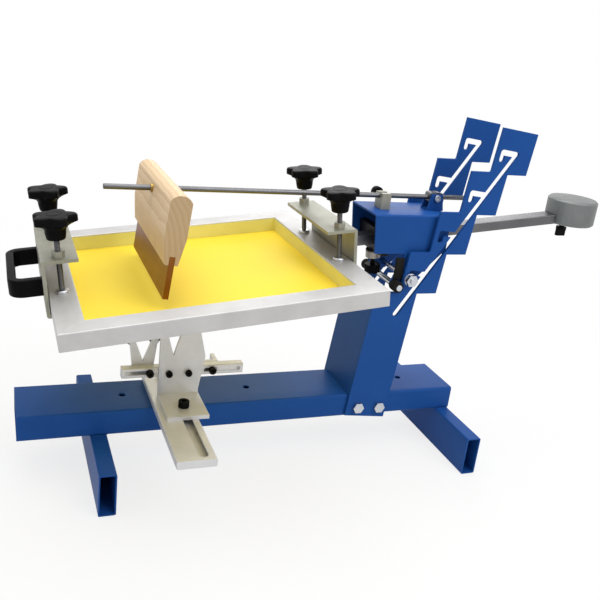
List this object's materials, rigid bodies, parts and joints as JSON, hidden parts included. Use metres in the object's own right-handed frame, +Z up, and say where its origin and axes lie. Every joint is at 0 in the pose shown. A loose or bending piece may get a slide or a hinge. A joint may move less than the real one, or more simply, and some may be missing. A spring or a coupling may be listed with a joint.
{
  "type": "tabletop screen printing press",
  "caption": "Manual bench press for screen printing on cylinders: a clamped screen slides under a fixed squeegee and over a roller jig, on a stepped height post.",
  "frame": {"origin": "bottom centre of the whole press, on the bench", "axes": "+X along the beam from the screen towards the counterweight, +Y across the press, +Z up"},
  "size_m": [0.9842, 0.434, 0.5592],
  "materials": {
    "blue_paint": "smooth glossy powder coat, royal blue",
    "bright_steel": "bright zinc plate",
    "jig_steel": "pale satin nickel plate",
    "dark_steel": "bare ground steel, lightly oiled",
    "frame_aluminium": "mill finish tube, brushed along its length",
    "clamp_steel": "zinc plated folded sheet",
    "black_plastic": "moulded black, slightly glossy",
    "black_screw": "black oxide",
    "roller_rubber": "matte black",
    "wood": "pale planed hardwood",
    "urethane": "amber polyurethane",
    "brass_bush": "plain turned",
    "yellow_mesh": "fine woven polyester, stretched",
    "cast_weight": "turned and grey lacquered"
  },
  "bodies": {
    "base": {"beam": "blue_paint", "left_foot": "blue_paint", "right_foot": "blue_paint", "near_stair_plate": "blue_paint", "far_stair_plate": "blue_paint", "post_web": "blue_paint", "post_bolts": "bright_steel", "jig_arm": "jig_steel", "jig_arm_screws": "bright_steel"},
    "head": {"head_housing": "blue_paint", "front_guide": "clamp_steel", "rear_guide": "clamp_steel", "hook_axle": "bright_steel", "rest_bar": "bright_steel", "rest_sleeves": "roller_rubber", "rod_tab": "blue_paint", "rod_pivot_screws": "bright_steel", "rod_clamp": "clamp_steel"},
    "ram_lock": {"ram_lock_screw": "black_plastic"},
    "rod_lock": {"rod_clamp_screw": "black_plastic"},
    "rod": {"squeegee_rod": "dark_steel", "rod_block": "dark_steel"},
    "bush": {"squeegee_bush": "brass_bush"},
    "squeegee": {"squeegee_handle": "wood", "squeegee_blade": "urethane"},
    "ram": {"ram_bar": "dark_steel", "ram_flange": "dark_steel", "ram_screws": "bright_steel", "left_clamp": "clamp_steel", "right_clamp": "clamp_steel", "pull_handle": "black_plastic", "screen_mesh": "yellow_mesh", "frame_rail_near": "frame_aluminium", "frame_rail_far": "frame_aluminium", "frame_rail_left": "frame_aluminium", "frame_rail_right": "frame_aluminium"},
    "weight": {"counterweight": "cast_weight"},
    "weight_lock": {"weight_screw": "black_screw"},
    "jig_foot": {"jig_bolt": "black_screw"},
    "jig": {"jig_column": "jig_steel", "jig_column_screws": "black_screw", "jig_crossbar": "jig_steel", "column_axles": "jig_steel"},
    "fork": {"fork_carrier": "jig_steel", "carrier_screw": "black_screw", "fork_axles": "jig_steel"},
    "collar": {"stop_collar": "jig_steel", "collar_screw": "black_screw"},
    "pad_left_near": {"clamp_pad_left_near": "bright_steel"},
    "knob_left_near": {"clamp_knob_left_near": "black_plastic"},
    "pad_left_far": {"clamp_pad_left_far": "bright_steel"},
    "knob_left_far": {"clamp_knob_left_far": "black_plastic"},
    "pad_right_near": {"clamp_pad_right_near": "bright_steel"},
    "knob_right_near": {"clamp_knob_right_near": "black_plastic"},
    "pad_right_far": {"clamp_pad_right_far": "bright_steel"},
    "knob_right_far": {"clamp_knob_right_far": "black_plastic"},
    "fork_roller_left": {"fork_roller_left": "roller_rubber"},
    "fork_roller_right": {"fork_roller_right": "roller_rubber"},
    "column_roller_left": {"column_roller_left": "roller_rubber"},
    "column_roller_right": {"column_roller_right": "roller_rubber"}
  },
  "joints": [
    {"name": "head_lift", "type": "hinge", "parent": "base", "child": "head", "pos_m": [0.11426, 0.005, 0.30955], "axis": [0, 1, 0], "range_deg": [0, 35]},
    {"name": "ram_slide", "type": "slide", "parent": "head", "child": "ram", "axis": [0.9936, 0, 0.1132], "range_m": [-0.15, 0.025]},
    {"name": "counterweight_slide", "type": "slide", "parent": "ram", "child": "weight", "axis": [0.9936, 0, 0.1132], "range_m": [-0.03, 0.01]},
    {"name": "weight_screw_turn", "type": "hinge", "parent": "weight", "child": "weight_lock", "pos_m": [0.43713, 0.005, 0.3954], "axis": [0, 0, 1], "range_deg": [0, 720]},
    {"name": "ram_lock_turn", "type": "hinge", "parent": "head", "child": "ram_lock", "pos_m": [0.06982, 0.005, 0.33498], "axis": [-0.1132, 0, 0.9936], "range_deg": [0, 720]},
    {"name": "squeegee_lift", "type": "hinge", "parent": "head", "child": "rod", "pos_m": [0.16513, 0.005, 0.4335], "axis": [0, 1, 0], "range_deg": [0, 35]},
    {"name": "rod_lock_turn", "type": "hinge", "parent": "head", "child": "rod_lock", "pos_m": [0.07313, 0.025, 0.4335], "axis": [0, 1, 0], "range_deg": [0, 720]},
    {"name": "squeegee_slide", "type": "slide", "parent": "rod", "child": "bush", "axis": [1, 0, 0], "range_m": [-0.06, 0.1]},
    {"name": "squeegee_rock", "type": "hinge", "parent": "bush", "child": "squeegee", "pos_m": [-0.28057, 0.005, 0.4335], "axis": [1, 0, 0], "range_deg": [-5, 5]},
    {"name": "jig_slide", "type": "slide", "parent": "base", "child": "jig_foot", "axis": [0, 1, 0], "range_m": [-0.12, 0.008]},
    {"name": "jig_swivel", "type": "hinge", "parent": "jig_foot", "child": "jig", "pos_m": [-0.24987, -0.079, 0.124], "axis": [0, 0, 1], "range_deg": [-90, 90]},
    {"name": "fork_slide", "type": "slide", "parent": "jig", "child": "fork", "axis": [1, 0, 0], "range_m": [-0.03, 0.006]},
    {"name": "collar_slide", "type": "slide", "parent": "jig", "child": "collar", "axis": [1, 0, 0], "range_m": [-0.008, 0.04]},
    {"name": "pad_slide_left_near", "type": "slide", "parent": "ram", "child": "pad_left_near", "axis": [-0.1132, 0, 0.9936], "range_m": [0, 0.004]},
    {"name": "knob_turn_left_near", "type": "hinge", "parent": "pad_left_near", "child": "knob_left_near", "pos_m": [-0.42365, -0.069, 0.30895], "axis": [-0.1132, 0, 0.9936], "range_deg": [0, 1155]},
    {"name": "pad_slide_left_far", "type": "slide", "parent": "ram", "child": "pad_left_far", "axis": [-0.1132, 0, 0.9936], "range_m": [0, 0.004]},
    {"name": "knob_turn_left_far", "type": "hinge", "parent": "pad_left_far", "child": "knob_left_far", "pos_m": [-0.42365, 0.079, 0.30895], "axis": [-0.1132, 0, 0.9936], "range_deg": [0, 1155]},
    {"name": "pad_slide_right_near", "type": "slide", "parent": "ram", "child": "pad_right_near", "axis": [-0.1132, 0, 0.9936], "range_m": [0, 0.004]},
    {"name": "knob_turn_right_near", "type": "hinge", "parent": "pad_right_near", "child": "knob_right_near", "pos_m": [-0.02573, -0.069, 0.35429], "axis": [-0.1132, 0, 0.9936], "range_deg": [0, 1155]},
    {"name": "pad_slide_right_far", "type": "slide", "parent": "ram", "child": "pad_right_far", "axis": [-0.1132, 0, 0.9936], "range_m": [0, 0.004]},
    {"name": "knob_turn_right_far", "type": "hinge", "parent": "pad_right_far", "child": "knob_right_far", "pos_m": [-0.02573, 0.079, 0.35429], "axis": [-0.1132, 0, 0.9936], "range_deg": [0, 1155]},
    {"name": "fork_roller_left_spin", "type": "hinge", "parent": "fork", "child": "fork_roller_left", "pos_m": [-0.31837, 0.00405, 0.204], "axis": [0, 1, 0], "continuous": true},
    {"name": "fork_roller_right_spin", "type": "hinge", "parent": "fork", "child": "fork_roller_right", "pos_m": [-0.28337, 0.00405, 0.204], "axis": [0, 1, 0], "continuous": true},
    {"name": "column_roller_left_spin", "type": "hinge", "parent": "jig", "child": "column_roller_left", "pos_m": [-0.27537, -0.016, 0.227], "axis": [0, 1, 0], "continuous": true},
    {"name": "column_roller_right_spin", "type": "hinge", "parent": "jig", "child": "column_roller_right", "pos_m": [-0.24237, -0.016, 0.227], "axis": [0, 1, 0], "continuous": true}
  ],
  "couplings": [
    {"joint": "knob_turn_left_near", "follows": "pad_slide_left_near", "rad_per_m": 5026.5},
    {"joint": "knob_turn_left_far", "follows": "pad_slide_left_far", "rad_per_m": 5026.5},
    {"joint": "knob_turn_right_near", "follows": "pad_slide_right_near", "rad_per_m": 5026.5},
    {"joint": "knob_turn_right_far", "follows": "pad_slide_right_far", "rad_per_m": 5026.5}
  ]
}
